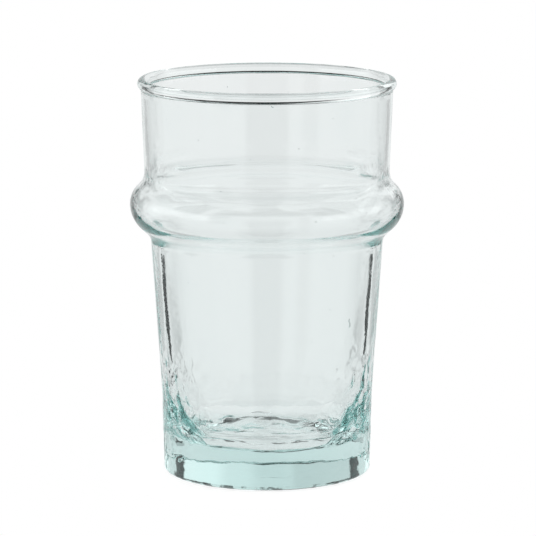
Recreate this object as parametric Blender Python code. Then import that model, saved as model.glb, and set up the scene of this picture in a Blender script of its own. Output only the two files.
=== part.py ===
"""Ringed drinking glass: one blown glass, divided into its named zones. Metres, +Z up.

The glass stands on the origin. Its outside and inside are each one outline of straight
runs and arcs, and the zones are cut from that pair of outlines at level planes."""
import math

import bmesh
import bpy

# Heights
FLOOR_THICKNESS = 0.011
HEEL_HEIGHT = 0.0235
RING_MIDDLE = 0.0819
COLLAR_REACH = 0.0381  # from the ring's middle to the top of the rim

# Outside radius where the collar leaves the ring, and the steps from it up and down the glass
COLLAR_RADIUS = 0.0367
COLLAR_FLARE = 0.0011  # wider at the rim
RING_BULGE = 0.0045  # the ring stands out from the collar
WAIST_STEP = 0.0017  # the body under the ring is narrower than the collar
BODY_TAPER = 0.0033  # from the waist down to the heel
HEEL_TAPER = 0.0005  # from the heel down to the base

# Thickness of the glass
HEEL_WALL = 0.0040
WAIST_WALL = 0.0021
RING_WALL = 0.0015
COLLAR_WALL = 0.0014
RIM_SWELL = 0.0008  # the bead stands out from both faces of the collar

# Roundings, on the outside for the ring
BASE_CORNER = 0.0025
FLOOR_CORNER = 0.0105
RING_LOWER_ROUND = 0.0086
RING_LOWER_CREASE = 0.0100
RING_UPPER_ROUND = 0.0072
RING_UPPER_CREASE = 0.0060

# How far each zone reaches past the bends that it takes in
ZONE_MARGIN = 0.0012

# Facets round the axis, and the turn of one facet along an arc
FACETS = 48
ARC_STEP = math.radians(20)
SMOOTH_ANGLE = math.radians(40)
WELD = 1e-6

GLASS_COLOUR = (0.78, 0.90, 0.88, 1.0)
GLASS_ROUGHNESS = 0.04


class Wall:
    """A straight run of the outline, from a low to a high (radius, height) point."""

    def __init__(self, low, high):
        self.low = low
        self.high = high
        self.lean = math.atan2(high[0] - low[0], high[1] - low[1])
        self.up = (math.sin(self.lean), math.cos(self.lean))
        self.out = (math.cos(self.lean), -math.sin(self.lean))

    def moved_in(self, low_depth, high_depth):
        """The inner face of a wall that is this thick at its two ends."""
        low = (self.low[0] - self.out[0] * low_depth, self.low[1] - self.out[1] * low_depth)
        high = (self.high[0] - self.out[0] * high_depth, self.high[1] - self.out[1] * high_depth)
        return Wall(low, high)

    def height_out(self, point):
        """How far a point lies outside the wall."""
        return (point[0] - self.low[0]) * self.out[0] + (point[1] - self.low[1]) * self.out[1]

    def radius_at(self, height):
        return self.low[0] + (height - self.low[1]) * math.tan(self.lean)


def arc(centre, radius, start, end):
    """Points of an arc from one angle to another, both ends included."""
    steps = max(2, math.ceil(abs(end - start) / ARC_STEP))
    angles = [start + (end - start) * step / steps for step in range(steps + 1)]
    return [(centre[0] + radius * math.cos(angle), centre[1] + radius * math.sin(angle)) for angle in angles]


def heading(start, end):
    return math.atan2(end[1] - start[1], end[0] - start[0])


def half_bulge(wall, bulge_radius, bulge_middle, crease_radius, upper):
    """Points from a wall round the crease beside it to the widest point of the bulge."""
    side = crease_radius - wall.height_out(bulge_middle)
    rise = math.sqrt((bulge_radius + crease_radius) ** 2 - side ** 2)
    if not upper:
        rise = -rise
    crease_middle = (
        bulge_middle[0] + wall.out[0] * side + wall.up[0] * rise,
        bulge_middle[1] + wall.out[1] * side + wall.up[1] * rise,
    )
    crease_end = heading(crease_middle, bulge_middle) % math.tau
    crease = arc(crease_middle, crease_radius, math.pi - wall.lean, crease_end)
    bulge = arc(bulge_middle, bulge_radius, heading(bulge_middle, crease_middle), 0)
    return crease + bulge[1:]


def ring_outline(body, collar, depth):
    """The ring at some depth below its outer face, from the body's wall up to the collar's."""
    ring_radius = COLLAR_RADIUS + RING_BULGE
    lower = half_bulge(
        body, RING_LOWER_ROUND - depth, (ring_radius - RING_LOWER_ROUND, RING_MIDDLE),
        RING_LOWER_CREASE + depth, upper=False,
    )
    upper = half_bulge(
        collar, RING_UPPER_ROUND - depth, (ring_radius - RING_UPPER_ROUND, RING_MIDDLE),
        RING_UPPER_CREASE + depth, upper=True,
    )
    return lower + upper[-2::-1]


def cut(outline, low, high):
    """The stretch of a rising outline between two heights, with its ends on those planes."""
    stretch = [outline[0]] if low <= outline[0][1] <= high else []
    for (r0, z0), (r1, z1) in zip(outline, outline[1:]):
        for plane in (low, high):
            if z0 < plane < z1:
                stretch.append((r0 + (r1 - r0) * (plane - z0) / (z1 - z0), plane))
        if low <= z1 <= high:
            stretch.append((r1, z1))
    return stretch


def glass_material(name):
    material = bpy.data.materials.new(name)
    material.use_nodes = True
    shader = material.node_tree.nodes["Principled BSDF"]
    shader.inputs["Base Color"].default_value = GLASS_COLOUR
    shader.inputs["Roughness"].default_value = GLASS_ROUGHNESS
    shader.inputs["Metallic"].default_value = 0.0
    return material


def turn(name, outline):
    """Turn an outline round the axis into a solid. One that stays off the axis is closed first."""
    mesh = bpy.data.meshes.new(name)
    work = bmesh.new()
    verts = [work.verts.new((radius, 0, height)) for radius, height in outline]
    edges = [work.edges.new(pair) for pair in zip(verts, verts[1:])]
    if outline[0][0] > 0:
        edges.append(work.edges.new((verts[-1], verts[0])))
    bmesh.ops.spin(
        work, geom=verts + edges, cent=(0, 0, 0), axis=(0, 0, 1),
        angle=math.tau, steps=FACETS, use_merge=True,
    )
    bmesh.ops.remove_doubles(work, verts=work.verts, dist=WELD)
    bmesh.ops.recalc_face_normals(work, faces=work.faces)
    work.to_mesh(mesh)
    work.free()
    mesh.shade_smooth()
    mesh.set_sharp_from_angle(angle=SMOOTH_ANGLE)
    mesh.materials.append(glass_material(name + "_glass"))
    bpy.context.collection.objects.link(bpy.data.objects.new(name, mesh))


def main():
    for old in list(bpy.data.objects):
        bpy.data.objects.remove(old)

    # The straight runs, outside and inside
    height = RING_MIDDLE + COLLAR_REACH
    waist_radius = COLLAR_RADIUS - WAIST_STEP
    heel_top = (waist_radius - BODY_TAPER, HEEL_HEIGHT)
    body = Wall(heel_top, (waist_radius, RING_MIDDLE - RING_LOWER_ROUND))
    body_inside = body.moved_in(HEEL_WALL, WAIST_WALL)
    collar = Wall((COLLAR_RADIUS, RING_MIDDLE + RING_UPPER_ROUND), (COLLAR_RADIUS + COLLAR_FLARE, height))
    collar_inside = collar.moved_in(COLLAR_WALL, COLLAR_WALL)

    # The rim's bead sits astride the collar's two faces
    bead_radius = COLLAR_WALL / 2 + RIM_SWELL
    bead_middle = (collar.high[0] - COLLAR_WALL / 2, height - bead_radius)
    bead_start = math.asin(COLLAR_WALL / 2 / bead_radius) - math.pi / 2
    bead = arc(bead_middle, bead_radius, bead_start, math.pi / 2)
    bead_inside = arc(bead_middle, bead_radius, math.pi - bead_start, math.pi / 2)

    # The base's outer corner, and the dished floor that rounds up into the body's inner face
    base_middle = (heel_top[0] - HEEL_TAPER - BASE_CORNER, BASE_CORNER)
    base_corner = arc(base_middle, BASE_CORNER, -math.pi / 2, 0)
    corner_top = FLOOR_THICKNESS + FLOOR_CORNER
    corner_inset = FLOOR_CORNER / math.cos(body_inside.lean)
    corner_middle = (body_inside.radius_at(corner_top) - corner_inset, corner_top)
    floor_corner = arc(corner_middle, FLOOR_CORNER, -math.pi / 2, -body_inside.lean)

    ring = ring_outline(body, collar, 0)
    ring_inside = ring_outline(body_inside, collar_inside, RING_WALL)
    outside = base_corner + [heel_top] + ring + bead
    inside = floor_corner + ring_inside + bead_inside

    # The zones lie between level planes
    foot_top = max(corner_top, HEEL_HEIGHT) + ZONE_MARGIN
    ring_bottom = min(ring[0][1], ring_inside[0][1]) - ZONE_MARGIN
    ring_top = max(ring[-1][1], ring_inside[-1][1]) + ZONE_MARGIN
    rim_bottom = bead[0][1] - ZONE_MARGIN
    walls = {
        "body_wall": (foot_top, ring_bottom),
        "ring_underside": (ring_bottom, RING_MIDDLE),
        "ring_shoulder": (RING_MIDDLE, ring_top),
        "collar": (ring_top, rim_bottom),
    }
    foot_inside = cut(inside, FLOOR_THICKNESS, foot_top)[::-1]
    turn("foot", [(0, 0)] + cut(outside, 0, foot_top) + foot_inside + [(0, FLOOR_THICKNESS)])
    for name, (low, high) in walls.items():
        turn(name, cut(outside, low, high) + cut(inside, low, high)[::-1])
    turn("rim", cut(outside, rim_bottom, height) + cut(inside, rim_bottom, height)[-2::-1])


main()
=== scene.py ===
import math
import random
import bpy
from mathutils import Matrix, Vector
from mathutils.kdtree import KDTree


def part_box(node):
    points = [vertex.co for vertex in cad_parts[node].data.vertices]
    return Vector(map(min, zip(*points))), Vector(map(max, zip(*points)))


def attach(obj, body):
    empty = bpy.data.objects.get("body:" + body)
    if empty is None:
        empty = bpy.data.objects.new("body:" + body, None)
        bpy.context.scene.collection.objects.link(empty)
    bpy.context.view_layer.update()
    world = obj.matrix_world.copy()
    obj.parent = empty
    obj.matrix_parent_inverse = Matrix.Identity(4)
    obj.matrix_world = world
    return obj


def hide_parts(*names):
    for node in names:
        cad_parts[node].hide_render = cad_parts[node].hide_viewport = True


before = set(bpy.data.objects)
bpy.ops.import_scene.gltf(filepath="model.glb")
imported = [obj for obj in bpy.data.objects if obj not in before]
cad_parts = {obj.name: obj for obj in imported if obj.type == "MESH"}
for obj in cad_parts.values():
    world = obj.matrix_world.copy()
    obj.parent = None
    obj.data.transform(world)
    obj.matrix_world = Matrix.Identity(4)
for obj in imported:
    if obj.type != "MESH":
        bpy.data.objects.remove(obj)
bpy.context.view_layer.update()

mm = 0.001
print("frame loaded:", ", ".join(sorted(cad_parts)))


# shader maths: a socket that takes part in plain expressions
class Wire:
    def __init__(self, tree, socket=None):
        self.tree = tree
        self.socket = socket

    def node(self, kind, settings, inputs, out=0):
        made = self.tree.nodes.new(kind)
        for name, value in settings.items():
            setattr(made, name, value)
        for name, value in inputs.items():
            if isinstance(value, Wire):
                self.tree.links.new(value.socket, made.inputs[name])
            else:
                made.inputs[name].default_value = value
        return Wire(self.tree, None if out is None else made.outputs[out])

    def maths(self, operation, *values):
        return self.node("ShaderNodeMath", {"operation": operation}, dict(enumerate(values)))

    def __add__(self, other):
        return self.maths("ADD", self, other)

    def __sub__(self, other):
        return self.maths("SUBTRACT", self, other)

    def __rsub__(self, other):
        return self.maths("SUBTRACT", other, self)

    def __mul__(self, other):
        return self.maths("MULTIPLY", self, other)

    def __truediv__(self, other):
        return self.maths("DIVIDE", self, other)

    def __abs__(self):
        return self.maths("ABSOLUTE", self)

    __radd__ = __add__
    __rmul__ = __mul__

    # 0 up to low, 1 from high on, soft between
    def rise(self, low, high):
        inputs = {"Value": self, "From Min": low, "From Max": high}
        return self.node("ShaderNodeMapRange", {"interpolation_type": "SMOOTHSTEP"}, inputs)

    # the three numbers of a vector
    def axes(self):
        return [self.node("ShaderNodeSeparateXYZ", {}, {"Vector": self}, axis) for axis in "XYZ"]

    # soft patches from 0 to 1
    def noise(self, scale, detail):
        inputs = {"Vector": self, "Scale": scale, "Detail": detail}
        return self.node("ShaderNodeTexNoise", {}, inputs, "Fac")


# camera: where the photo was taken from
shot = dict(
    distance=1.2,
    elevation=10.3,
    pixelsPerMetre=3314.5,      # at the middle of the glass
    frameSize=536,
    sensor=36,
    nearest=0.05,
    aim=(0.0003, 0.0, 0.062),
    middle=(0.0, 0.0, 0.06),
)


def makeCamera():
    tilt = math.radians(shot["elevation"])
    back = Vector((0, -math.cos(tilt), math.sin(tilt)))
    place = Vector(shot["middle"]) + back * shot["distance"]
    bpy.ops.object.camera_add(location=place)
    camera = bpy.context.object
    look = Vector(shot["aim"]) - place
    camera.rotation_euler = look.to_track_quat("-Z", "Y").to_euler()
    camera.data.sensor_width = shot["sensor"]
    focal = shot["pixelsPerMetre"] * shot["distance"]       # in pixels
    camera.data.lens = focal * camera.data.sensor_width / shot["frameSize"]
    camera.data.clip_start = shot["nearest"]
    bpy.context.scene.camera = camera
    print("camera: lens", round(camera.data.lens, 1))


# glass: sizes in millimetres, taken round the axis
glass = dict(
    floor=10.2,
    floorCorner=(9.0, 7.0),     # how far in and how far up the floor rounds into the wall
    heelHeight=23.5,
    ringMiddle=81.9,
    collarRadius=36.7,
    collarFlare=1.1,
    ringBulge=4.5,
    waistStep=1.7,
    bodyTaper=3.3,
    heelTaper=0.5,
    heelWall=4.0,
    waistWall=2.9,
    ringWall=2.2,
    collarWall=1.4,
    rimOut=1.0,                 # the bead stands out by this and in by rimIn
    rimIn=0.6,
    rimHeight=3.2,
    rimNeck=0.5,                # how far the turn under the bead is eased
    baseCorner=(3.0, 1.5),      # how far in and how far up
    lowerRing=(9.2, 4.5, 44),   # round, crease and slope of the flank between them
    upperRing=(7.2, 6.0, 48),
    lowerRingIn=(6.0, 6.5, 40.5),
    upperRingIn=(5.9, 1.0, 48),  # the inside turns sharply there, so the glass is thicker
    turns=256,                  # points in a ring
    steps=dict(                 # between rings of points, run by run
        floor=0.8, floorCorner=0.3, bodyIn=1.5, ringIn=0.45, collarIn=1.5, rim=0.16,
        collarOut=2.0, ringOut=0.8, bodyOut=1.8, heelOut=0.5, baseCorner=0.22, base=2.6,
    ),
)


def arcPoints(centre, radius, start, end):
    count = max(6, math.ceil(abs(end - start) / math.radians(3)))
    angles = [start + (end - start) * i / count for i in range(count + 1)]
    return [centre + radius * Vector((math.cos(a), math.sin(a))) for a in angles]


# a sharp corner made round
def easedCorner(start, corner, end):
    return [start.lerp(corner, i / 8).lerp(corner.lerp(end, i / 8), i / 8) for i in range(9)]


def heading(start, end):
    return math.atan2(end.y - start.y, end.x - start.x)


# a wall as (low point, up, out) in the radius-height plane
def wallLine(low, high):
    up = (high - low).normalized()
    return low, up, Vector((up.y, -up.x))


def movedIn(low, high, lowDepth, highDepth):
    out = wallLine(low, high)[2]
    return low - out * lowDepth, high - out * highDepth


# from a wall, round its crease and up the flank, to the widest point of the ring
def halfRing(wall, shape, middle, upper):
    low, up, out = wall
    roundness, crease, slope = shape
    slope = math.radians(slope)
    aim = out * math.cos(slope) + up * math.sin(slope) * (1 if upper else -1)
    flank = ((middle - low).dot(out) + (roundness + crease) * math.cos(slope) - crease) / math.sin(slope)
    along = up * math.cos(slope) * (1 if upper else -1) - out * math.sin(slope)
    bend = middle + aim * (roundness + crease) + along * flank
    zero = Vector((0, 0))
    start, end = heading(out, zero) % math.tau, heading(aim, zero) % math.tau
    return arcPoints(bend, crease, start, end) + arcPoints(middle, roundness, heading(zero, aim), 0)


def ringPoints(body, collar, wide, lowerShape, upperShape):
    level = glass["ringMiddle"]
    lower = halfRing(body, lowerShape, Vector((wide - lowerShape[0], level)), False)
    upper = halfRing(collar, upperShape, Vector((wide - upperShape[0], level)), True)
    return lower + upper[-2::-1]


# the whole outline as named runs: up the inside from the floor, over the rim, down to the base
def glassRuns(g):
    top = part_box("rim")[1].z / mm
    waist = g["collarRadius"] - g["waistStep"]
    heelTop = Vector((waist - g["bodyTaper"], g["heelHeight"]))
    bodyTop = Vector((waist, g["ringMiddle"] - g["lowerRing"][0]))
    collarLow = Vector((g["collarRadius"], g["ringMiddle"] + g["upperRing"][0]))
    collarHigh = Vector((g["collarRadius"] + g["collarFlare"], top))
    bodyIn = wallLine(*movedIn(heelTop, bodyTop, g["heelWall"], g["waistWall"]))
    collarIn = wallLine(*movedIn(collarLow, collarHigh, g["collarWall"], g["collarWall"]))

    # the bead is an oval astride the collar, from its inner face over to its outer face
    tall = g["rimHeight"] / 2
    wide = (g["collarWall"] + g["rimOut"] + g["rimIn"]) / 2
    beadMiddle = Vector((collarHigh.x + g["rimOut"] - wide, top - tall))
    innerNeck = math.pi + math.acos((wide - g["rimIn"]) / wide)
    outerNeck = -math.acos((wide - g["rimOut"]) / wide)
    rim = [Vector((p.x * wide, p.y * tall)) for p in arcPoints(Vector((0, 0)), 1, innerNeck, outerNeck)]
    rim = [beadMiddle + point for point in rim]
    skip = next(i for i, point in enumerate(rim) if (point - rim[0]).length > g["rimNeck"])
    neck = wallLine(collarLow, collarHigh)[1] * g["rimNeck"]
    innerNeck = easedCorner(rim[0] - neck, rim[0], rim[skip])
    outerNeck = easedCorner(rim[-1 - skip], rim[-1], rim[-1] - neck)
    rim = innerNeck + rim[skip + 1:-1 - skip] + outerNeck

    # the floor's oval leans with the wall that it runs into
    reach, rise = g["floorCorner"]
    lean = bodyIn[1].x / bodyIn[1].y
    cornerTop = g["floor"] + rise
    wallRadius = bodyIn[0].x + (cornerTop - bodyIn[0].y) * lean
    floorCorner = [
        Vector((wallRadius + reach * (p.x - 1) + rise * p.y * lean, cornerTop + rise * p.y))
        for p in arcPoints(Vector((0, 0)), 1, -math.pi / 2, 0)
    ]
    reach, rise = g["baseCorner"]
    baseRadius = heelTop.x - g["heelTaper"]
    baseCorner = [
        Vector((baseRadius + reach * (p.x - 1), rise + rise * p.y))
        for p in arcPoints(Vector((0, 0)), 1, 0, -math.pi / 2)
    ]

    ringWide = g["collarRadius"] + g["ringBulge"]
    bodyOut = wallLine(heelTop, bodyTop)
    collarOut = wallLine(collarLow, collarHigh)
    ringIn = ringPoints(bodyIn, collarIn, ringWide - g["ringWall"], g["lowerRingIn"], g["upperRingIn"])
    ringOut = ringPoints(bodyOut, collarOut, ringWide, g["lowerRing"], g["upperRing"])[::-1]
    return [
        ("floor", [Vector((0, g["floor"])), floorCorner[0]]),
        ("floorCorner", floorCorner),
        ("bodyIn", [floorCorner[-1], ringIn[0]]),
        ("ringIn", ringIn),
        ("collarIn", [ringIn[-1], rim[0]]),
        ("rim", rim),
        ("collarOut", [rim[-1], ringOut[0]]),
        ("ringOut", ringOut),
        ("bodyOut", [ringOut[-1], heelTop]),
        ("heelOut", [heelTop, baseCorner[0]]),
        ("baseCorner", baseCorner),
        ("base", [baseCorner[-1], Vector((0, 0))]),
    ]


def stretches(points):
    return [(b - a).length for a, b in zip(points, points[1:])]


# even steps along a run
def evenSteps(points, count):
    lengths = stretches(points)
    spaced, walked, index = [], 0.0, 0
    for i in range(count + 1):
        target = sum(lengths) * i / count
        while index < len(lengths) - 1 and walked + lengths[index] < target:
            walked += lengths[index]
            index += 1
        share = (target - walked) / lengths[index]
        spaced.append(points[index].lerp(points[index + 1], min(share, 1)))
    return spaced


# each point of the outline with the run that it lies on, as many for every set of sizes
def glassOutline(changes):
    outline = []
    for (run, points), (_, usual) in zip(glassRuns({**glass, **changes}), glassRuns(glass)):
        spaced = evenSteps(points, math.ceil(sum(stretches(usual)) / glass["steps"][run]))
        outline += [(run, point) for point in (spaced[1:] if outline else spaced)]
    return outline


def turnGlass(outline):
    bpy.ops.object.select_all(action="DESELECT")
    start = outline[0][1]
    bpy.ops.mesh.primitive_plane_add(size=mm, location=(0, 0, 0))
    piece = bpy.context.object
    piece.name = "blown_glass"
    bpy.ops.object.mode_set(mode="EDIT")
    bpy.ops.mesh.merge(type="CENTER")
    bpy.ops.transform.translate(value=(start.x * mm, 0, start.y * mm))
    for (_, low), (_, high) in zip(outline, outline[1:]):
        move = (high - low) * mm
        bpy.ops.mesh.extrude_vertices_move(TRANSFORM_OT_translate={"value": (move.x, 0, move.y)})
    bpy.ops.mesh.select_all(action="SELECT")
    bpy.ops.mesh.spin(steps=glass["turns"], angle=math.tau, center=(0, 0, 0), axis=(0, 0, 1))
    bpy.ops.mesh.select_all(action="SELECT")
    bpy.ops.mesh.remove_doubles(threshold=0.01 * mm)
    bpy.ops.mesh.normals_make_consistent(inside=False)
    bpy.ops.object.mode_set(mode="OBJECT")
    bpy.ops.object.shade_smooth()
    print("glass turned:", len(piece.data.polygons), "faces")
    return piece


def ease(value, low, high):
    share = min(max((value - low) / (high - low), 0), 1)
    return share * share * (3 - 2 * share)


# a blown glass isn't quite round: some sizes are others at the sides or at the back
# ramp: they set in between these shares of the way, above: and between these heights
uneven = [
    dict(towards="side", ramp=(0.66, 0.98), floorCorner=(9.5, 18.0)),
    dict(towards="side", ramp=(0.7, 0.98), above=(75, 83), ringWall=1.6, upperRingIn=(6.2, 6.0, 48)),
    dict(towards="back", ramp=(0.0, 0.6), baseCorner=(1.2, 0.3)),
]


# for each vertex: its place on the outline, then how far it lies to the side and to the back
def findSpots(piece, outline):
    places = KDTree(len(outline))
    for i, (_, point) in enumerate(outline):
        places.insert((point.x, point.y, 0), i)
    places.balance()
    spots = []
    for vertex in piece.data.vertices:
        x, y, z = vertex.co / mm
        radius = math.hypot(x, y)
        index = places.find((radius, z, 0))[1]
        spots.append(dict(index=index, z=z, side=abs(x) / max(radius, 1), back=y / max(radius, 1)))
    return spots


def makeUneven(piece, outline, spots):
    for part in uneven:
        other = glassOutline({name: size for name, size in part.items() if name in glass})
        for vertex, spot in zip(piece.data.vertices, spots):
            usual = outline[spot["index"]][1]
            share = ease(spot[part["towards"]], *part["ramp"])
            if "above" in part:
                share *= ease(usual.y, *part["above"])
            move = (other[spot["index"]][1] - usual) * share
            if move.length > 0:
                turned = Vector((vertex.co.x, vertex.co.y, 0)).normalized() * move.x
                vertex.co += Vector((turned.x, turned.y, move.y)) * mm
                spot["z"] = vertex.co.z / mm
    print("uneven sizes:", len(uneven))


# hand work: what the blower's tools and the mould left; each weight is by run, height in
# millimetres and side, which is 0 at the front and back and 1 at the left and right
def bodyWaves(run, z, side):
    if run in ("bodyIn", "floorCorner"):
        return 1 - 0.8 * ease(z, 24, 52)
    return {"ringIn": 0.05, "collarIn": 0.1}.get(run, 0)


def lowDents(run, z, side):
    if run in ("bodyIn", "floorCorner"):
        return (1 - ease(z, 31, 40)) * (0.06 + 0.94 * ease(side, 0.58, 0.88))
    return 0


def shoulderDents(run, z, side):
    if run in ("ringIn", "ringOut"):
        return ease(z, 85, 88) * ease(side, 0.75, 0.95)
    return 0


def ringStreaks(run, z, side):
    return 1 if run == "ringIn" else 0


def floorRipple(run, z, side):
    return {"floor": 1, "floorCorner": 1 - ease(z, 12, 20)}.get(run, 0)


def creaseWander(run, z, side):
    if run in ("ringIn", "collarIn"):
        return ease(z, 84, 88) * (1 - ease(z, 91, 97))
    return 0


def outerSkin(run, z, side):
    return {"heelOut": 1, "bodyOut": 0.7, "ringOut": 0.2, "collarOut": 0.4}.get(run, 0)


def heelSkin(run, z, side):
    return {"heelOut": 1, "baseCorner": 1, "bodyOut": 1 - ease(z, 24, 34)}.get(run, 0)


def heelDents(run, z, side):
    return ease(side, 0.6, 0.8) * ease(z, 0.2, 1.2) if run in ("heelOut", "baseCorner") else 0


def underside(run, z, side):
    return 1 if run == "base" else 0


def rimWaver(run, z, side):
    return 1 if run == "rim" else 0


def topLean(run, z, side):
    return ease(z, 96, 116)


# sizes and depths in mm, tall: how much longer upwards, middle: the level of the pattern that stays
handWork = [
    dict(name="body_waves", where=bodyWaves, size=5.0, depth=0.12, tall=2.5, way="NORMAL"),
    dict(name="body_swell", where=bodyWaves, size=16.0, depth=0.25, tall=1.5, way="NORMAL"),
    dict(name="low_dents", where=lowDents, size=3.2, depth=0.65, tall=1.2, way="NORMAL"),
    dict(name="floor_ripple", where=floorRipple, size=4.0, depth=0.34, way="Z"),
    dict(name="floor_swell", where=floorRipple, size=17.0, depth=0.9, way="Z"),
    dict(name="ring_streaks", where=ringStreaks, size=12.0, depth=0.009, tall=0.12, way="NORMAL"),
    dict(name="shoulder_dents", where=shoulderDents, size=2.0, depth=0.16, way="NORMAL"),
    dict(name="crease_wander", where=creaseWander, size=9.0, depth=0.5, way="Z"),
    dict(name="outer_skin", where=outerSkin, size=9.0, depth=0.08, tall=2.0, way="NORMAL"),
    dict(name="heel_skin", where=heelSkin, size=4.5, depth=0.1, tall=1.2, way="NORMAL"),
    dict(name="heel_dents", where=heelDents, size=2.2, depth=0.26, way="NORMAL"),
    dict(name="underside", where=underside, size=5.0, depth=0.02, way="Z", middle=0.1),
    dict(name="rim_waver", where=rimWaver, size=14.0, depth=0.04, way="NORMAL"),
    dict(name="top_lean", where=topLean, size=None, depth=-0.45, way="Z", middle=0.12),
]


def workByHand(piece, outline, spots):
    for index, work in enumerate(handWork):
        group = piece.vertex_groups.new(name=work["name"])
        for vertex, spot in enumerate(spots):
            weight = work["where"](outline[spot["index"]][0], spot["z"], spot["side"])
            if weight > 0:
                group.add([vertex], weight, "REPLACE")
        guide = bpy.data.objects.new("pattern_guide", None)
        bpy.context.collection.objects.link(guide)
        if work["size"]:
            texture = bpy.data.textures.new(work["name"], "CLOUDS")
            texture.noise_scale = work["size"] * mm
            texture.noise_depth = 1
            guide.location = (0.1 * index, 0.03, 0.05)      # each from another place in the clouds
            guide.scale = (1, 1, work.get("tall", 1))
        else:                   # an even slope from front to back
            texture = bpy.data.textures.new(work["name"], "BLEND")
            guide.rotation_euler.z = math.pi / 2
            guide.scale = (0.038, 1, 1)                     # as far as the rim reaches
        bend = piece.modifiers.new(work["name"], "DISPLACE")
        bend.texture = texture
        bend.texture_coords = "OBJECT"
        bend.texture_coords_object = guide
        bend.direction = work["way"]
        bend.vertex_group = group.name
        bend.strength = work["depth"] * mm
        bend.mid_level = work.get("middle", 0.5)
        bpy.context.view_layer.update()
        bpy.ops.object.modifier_apply(modifier=bend.name)
        bpy.data.objects.remove(guide)
    piece.vertex_groups.clear()
    print("hand work:", ", ".join(work["name"] for work in handWork))


# seeds: the small bubbles that stay in hand-blown glass
seeds = dict(
    count=80,
    draw=11,
    size=(0.07, 0.15),
    stretch=(1, 1.7),
    heights=(27, 115),
    depths=(0.3, 0.7),          # shares of the wall
    large=[                     # place, three half sizes and tilt in degrees
        ((23.75, -21.3, 50.2), (0.2, 0.2, 0.55), 24),       # a chain of three at the right
        ((23.95, -21.1, 49.3), (0.22, 0.22, 0.6), -16),
        ((23.95, -21.0, 48.4), (0.2, 0.2, 0.5), 30),
        ((1.5, -36.95, 116.2), (0.42, 0.2, 0.22), 35),      # under the rim
        ((-1.6, 20.5, 12.0), (3.6, 0.9, 0.35), 2),          # a flat blister by the floor
    ],
)


def addSeeds(piece, outline):
    random.seed(seeds["draw"])
    outside = [point for run, point in outline if run.endswith("Out")]
    inside = [point for run, point in outline if run in ("floorCorner", "bodyIn", "ringIn", "collarIn")]
    places = []
    for _ in range(seeds["count"]):
        z = random.uniform(*seeds["heights"])
        outer = min(outside, key=lambda point: abs(point.y - z)).x
        inner = min(inside, key=lambda point: abs(point.y - z)).x
        radius = outer + (inner - outer) * random.uniform(*seeds["depths"])
        angle = random.uniform(0, math.tau)
        size = random.uniform(*seeds["size"])
        place = (radius * math.cos(angle), radius * math.sin(angle), z)
        places.append((place, (size, size, size * random.uniform(*seeds["stretch"])), 0))
    made = []
    for place, size, tilt in places + seeds["large"]:
        bpy.ops.mesh.primitive_ico_sphere_add(
            subdivisions=2, radius=mm, location=Vector(place) * mm, scale=size,
            rotation=(0, math.radians(tilt), 0),
        )
        made.append(bpy.context.object)
    bpy.ops.object.select_all(action="DESELECT")
    for bubble in made:
        bubble.select_set(True)
    bpy.ops.object.join()
    bpy.ops.object.shade_smooth()
    bpy.ops.object.mode_set(mode="EDIT")
    bpy.ops.mesh.select_all(action="SELECT")
    bpy.ops.mesh.normals_make_consistent(inside=True)
    bpy.ops.object.mode_set(mode="OBJECT")
    piece.select_set(True)
    bpy.context.view_layer.objects.active = piece
    bpy.ops.object.join()
    print("seeds:", len(made))


def makeGlass():
    outline = glassOutline({})
    piece = turnGlass(outline)
    spots = findSpots(piece, outline)
    makeUneven(piece, outline, spots)
    workByHand(piece, outline, spots)
    addSeeds(piece, outline)
    return piece


# glass finish: clear, with a pale aqua tint that shows where it is thick
clearGlass = dict(
    ior=1.5,
    tint=(0.9155, 0.963, 0.960, 1),
    density=90,
    skin=(0.985, 0.998, 0.997, 1),
    cloudy=(0.965, 0.985, 0.985, 1),
    clouds=(60, 3),             # scale and detail of a pattern
    cloudRamp=(0.5, 0.8),
    # near black of the painted contact shadow along the foot's edge
    shadeAndWear=(0.06, 0.06, 0.06, 1),
    wornRoughness=0.18,
    patchPattern=(260, 3),
    patchRamp=(0.46, 0.56),
    shadeAndWearRadius=(0.0265, 0.0285),
    shadeAndWearHeight=(0.00042, 0.0006),
    shadeAndWearFront=(-0.022, -0.01),  # the painted shadow and the roughness only at the front
    shadeAndWearLift=0.0011,            # and so much higher than the height above
    grain=(380, 2),
    wrinkles=(900, 1),
    peelDepth=0.00001,
    peel=0.25,                  # of the grain, all over
    creasePeel=4,               # of the wrinkles, at the sides of the crease
    sides=(0.7, 0.92),          # shares of the way to the side
    heelTop=(0.012, 0.03),
    creaseFoot=(0.085, 0.088),
    creaseTop=(0.092, 0.095),
)


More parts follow.
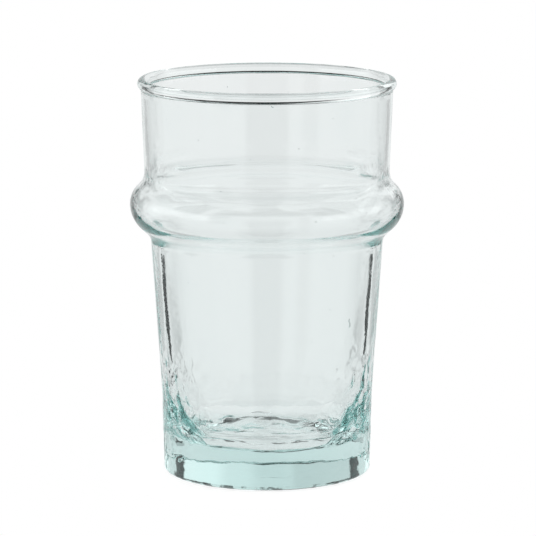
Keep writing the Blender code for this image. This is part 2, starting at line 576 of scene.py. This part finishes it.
def glassMaterial():
    g = clearGlass
    material = bpy.data.materials.new("aqua_glass")
    material.use_nodes = True
    tree = material.node_tree
    shader = tree.nodes["Principled BSDF"]
    w = Wire(tree)
    place = w.node("ShaderNodeTexCoord", {}, {}, "Object")
    x, y, z = place.axes()
    radius = w.maths("SQRT", x * x + y * y)
    clouds = place.noise(*g["clouds"])
    grain = place.noise(*g["grain"])
    wrinkles = place.noise(*g["wrinkles"])
    patchPattern = place.noise(*g["patchPattern"])

    # painted contact shadow: dark patches where it stands, at the front, which are also rougher there as
    # wear
    front = 1 - y.rise(*g["shadeAndWearFront"])
    lifted = z - g["shadeAndWearLift"] * front
    shadeAndWear = radius.rise(*g["shadeAndWearRadius"]) * (1 - lifted.rise(*g["shadeAndWearHeight"]))
    shadeAndWear = shadeAndWear * patchPattern.rise(*g["patchRamp"]) * front
    colour = {"data_type": "RGBA"}
    cloudy = clouds.rise(*g["cloudRamp"])
    skin = w.node("ShaderNodeMix", colour, {0: cloudy, 6: g["skin"], 7: g["cloudy"]}, 2)
    # the painted contact shadow darkens the colour in those patches
    skin = w.node("ShaderNodeMix", colour, {0: shadeAndWear, 6: skin, 7: g["shadeAndWear"]}, 2)
    tree.links.new(skin.socket, shader.inputs["Base Color"])
    tree.links.new((shadeAndWear * g["wornRoughness"]).socket, shader.inputs["Roughness"])

    # a fine orange peel, stronger on the heel and at the sides
    side = (abs(x) / radius).rise(*g["sides"])
    heel = 1 - z.rise(*g["heelTop"])
    crease = z.rise(*g["creaseFoot"]) * (1 - z.rise(*g["creaseTop"]))
    height = grain * (g["peel"] + heel + side * (1 + heel)) + wrinkles * g["creasePeel"] * side * crease
    peel = {"Strength": 1, "Distance": g["peelDepth"], "Height": height}
    bump = w.node("ShaderNodeBump", {}, peel, "Normal")
    tree.links.new(bump.socket, shader.inputs["Normal"])

    shader.inputs["IOR"].default_value = g["ior"]
    shader.inputs["Transmission Weight"].default_value = 1
    absorb = tree.nodes.new("ShaderNodeVolumeAbsorption")
    absorb.inputs["Color"].default_value = g["tint"]
    absorb.inputs["Density"].default_value = g["density"]
    tree.links.new(absorb.outputs["Volume"], tree.nodes["Material Output"].inputs["Volume"])
    print("glass finish:", material.name)
    return material


# studio: a white surround for the glass to bend, with dark gaps that draw its edges
# a gap: degrees round from straight behind the glass, half width, degrees up from and up to,
# how dark it is, where less than 0 is a light, and how soft its edge is
studio = dict(
    white=(0.855, 0.867, 0.867, 1),
    pairs=[                                     # on both sides
        (39.6, 3.7, -18.5, -15.1, 1.0, 0.6),    # black streaks of the body
        (50.5, 5.2, -15.1, -12.6, 0.9, 0.8),
        (22, 9, -16.5, -13.8, 0.36, 1.5),       # the strip outside them
        (32, 7, -13.8, -12, 0.25, 0.8),
        (73, 14, -20, -14, 0.3, 4),
        (48, 4.5, -11.6, -10.4, 0.95, 0.4),     # dark patches of the foot
        (48, 5, -2, 24, 0.97, 2),
        (40, 18, -10.4, -8, 0.36, 0.5),         # sides of the collar and the ring
        (46, 10, -8, -2, 0.3, 2),
        (38, 13, -1, 9.8, 0.9, 1.6),            # ends of the rim's bead
        (100, 32, 1, 21, -1.0, 6),              # lights on the facets low at the sides
    ],
    gaps=[                                      # on one side
        (180, 20, -15, 8, 0.5, 6),              # the darker band down the middle
        (180, 14, -35, -15, 0.5, 6),
        (180, 30, -85, -35, 0.97, 5),           # lines of the rim and the foot
        (180, 50, 30, 54, 0.97, 8),
        (180, 22, 54, 80, 0.97, 8),
        (137, 8, -10, 24, 0.6, 8),
        (91, 9, -35, -22, 0.97, 3),
        (11, 16, 16.5, 60, 1.0, 3),
        (57, 13, 30, 60, 0.97, 3),
        (102, 16, 22, 60, 0.97, 3),
        (237, 16, 22, 60, 0.97, 3),
        (28, 18, 3, 27, 0.12, 3),               # the foot, darker right and paler left
        (-31, 13, 9, 27, -0.15, 8),
        (-27, 22, 9, 27, -0.13, 8),
        (0, 40, -72, -40, 0.35, 6),             # the far crease over the ring
        (0, 190, -90, -15, 0.05, 6),            # a little darker below
    ],
    floorRadius=0.05,
    floorSides=96,
    floorDrop=0.05,             # millimetres under the glass
    floorColour=0.3,
    floorToCamera=0.88,         # glow that makes it white
    floorToGlass=0.73,
    bounces=64,                 # light goes round for long in the thick foot
)


def makeStudio():
    world = bpy.data.worlds.new("studio")
    bpy.context.scene.world = world
    world.use_nodes = True
    tree = world.node_tree
    tree.nodes.clear()
    w = Wire(tree)
    direction = w.node("ShaderNodeTexCoord", {}, {}, "Generated")
    x, y, z = direction.axes()
    around = w.maths("ARCTAN2", x * -1, y) * math.degrees(1)
    up = w.maths("ARCSINE", z) * math.degrees(1)
    level = None
    gaps = studio["pairs"] + [(-gap[0], *gap[1:]) for gap in studio["pairs"]] + studio["gaps"]
    for middle, width, low, high, shade, fade in gaps:
        half = fade / 2
        away = abs(w.maths("WRAP", around - middle, 180, -180))
        gap = 1 - away.rise(width - half, width + half)
        gap = gap * (up.rise(low - half, low + half) - up.rise(high - half, high + half))
        lit = 1 - gap * shade
        level = level * lit if level else lit
    seen = w.node("ShaderNodeLightPath", {}, {}, "Is Camera Ray")
    room = w.node("ShaderNodeBackground", {}, {"Color": studio["white"], "Strength": level})
    plain = w.node("ShaderNodeBackground", {}, {"Color": (1, 1, 1, 1), "Strength": 1})
    mixed = w.node("ShaderNodeMixShader", {}, {0: seen, 1: room, 2: plain})
    w.node("ShaderNodeOutputWorld", {}, {"Surface": mixed}, None)
    bpy.context.scene.cycles.max_bounces = studio["bounces"]
    bpy.context.scene.cycles.transmission_bounces = studio["bounces"]
    bpy.context.scene.cycles.glossy_bounces = studio["bounces"]
    print("studio:", len(gaps), "gaps")


def makeFloor():
    bpy.ops.object.select_all(action="DESELECT")
    bpy.ops.mesh.primitive_circle_add(
        vertices=studio["floorSides"], radius=studio["floorRadius"], fill_type="NGON",
    )
    floor = bpy.context.object
    floor.name = "studio_floor"
    floor.location.z = -studio["floorDrop"] * mm
    material = bpy.data.materials.new("floor_white")
    material.use_nodes = True
    tree = material.node_tree
    tree.nodes.clear()
    w = Wire(tree)
    toCamera = w.node("ShaderNodeLightPath", {}, {}, "Is Camera Ray")
    shiny = w.node("ShaderNodeLightPath", {}, {}, "Is Glossy Ray")
    through = w.node("ShaderNodeLightPath", {}, {}, "Is Transmission Ray")
    toGlass = w.maths("MAXIMUM", shiny, through) * (1 - toCamera)
    glow = toCamera * studio["floorToCamera"] + toGlass * studio["floorToGlass"]
    grey = studio["floorColour"]
    matt = w.node("ShaderNodeBsdfDiffuse", {}, {"Color": (grey, grey, grey, 1)})
    white = w.node("ShaderNodeEmission", {}, {"Color": (1, 1, 1, 1), "Strength": glow})
    both = w.node("ShaderNodeAddShader", {}, {0: matt, 1: white})
    w.node("ShaderNodeOutputMaterial", {}, {"Surface": both}, None)
    floor.data.materials.append(material)
    print("floor:", studio["floorRadius"], "m radius")


bpy.context.scene.view_settings.view_transform = "Standard"
makeCamera()
makeStudio()
makeFloor()
piece = makeGlass()
piece.data.materials.append(glassMaterial())
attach(piece, "root")
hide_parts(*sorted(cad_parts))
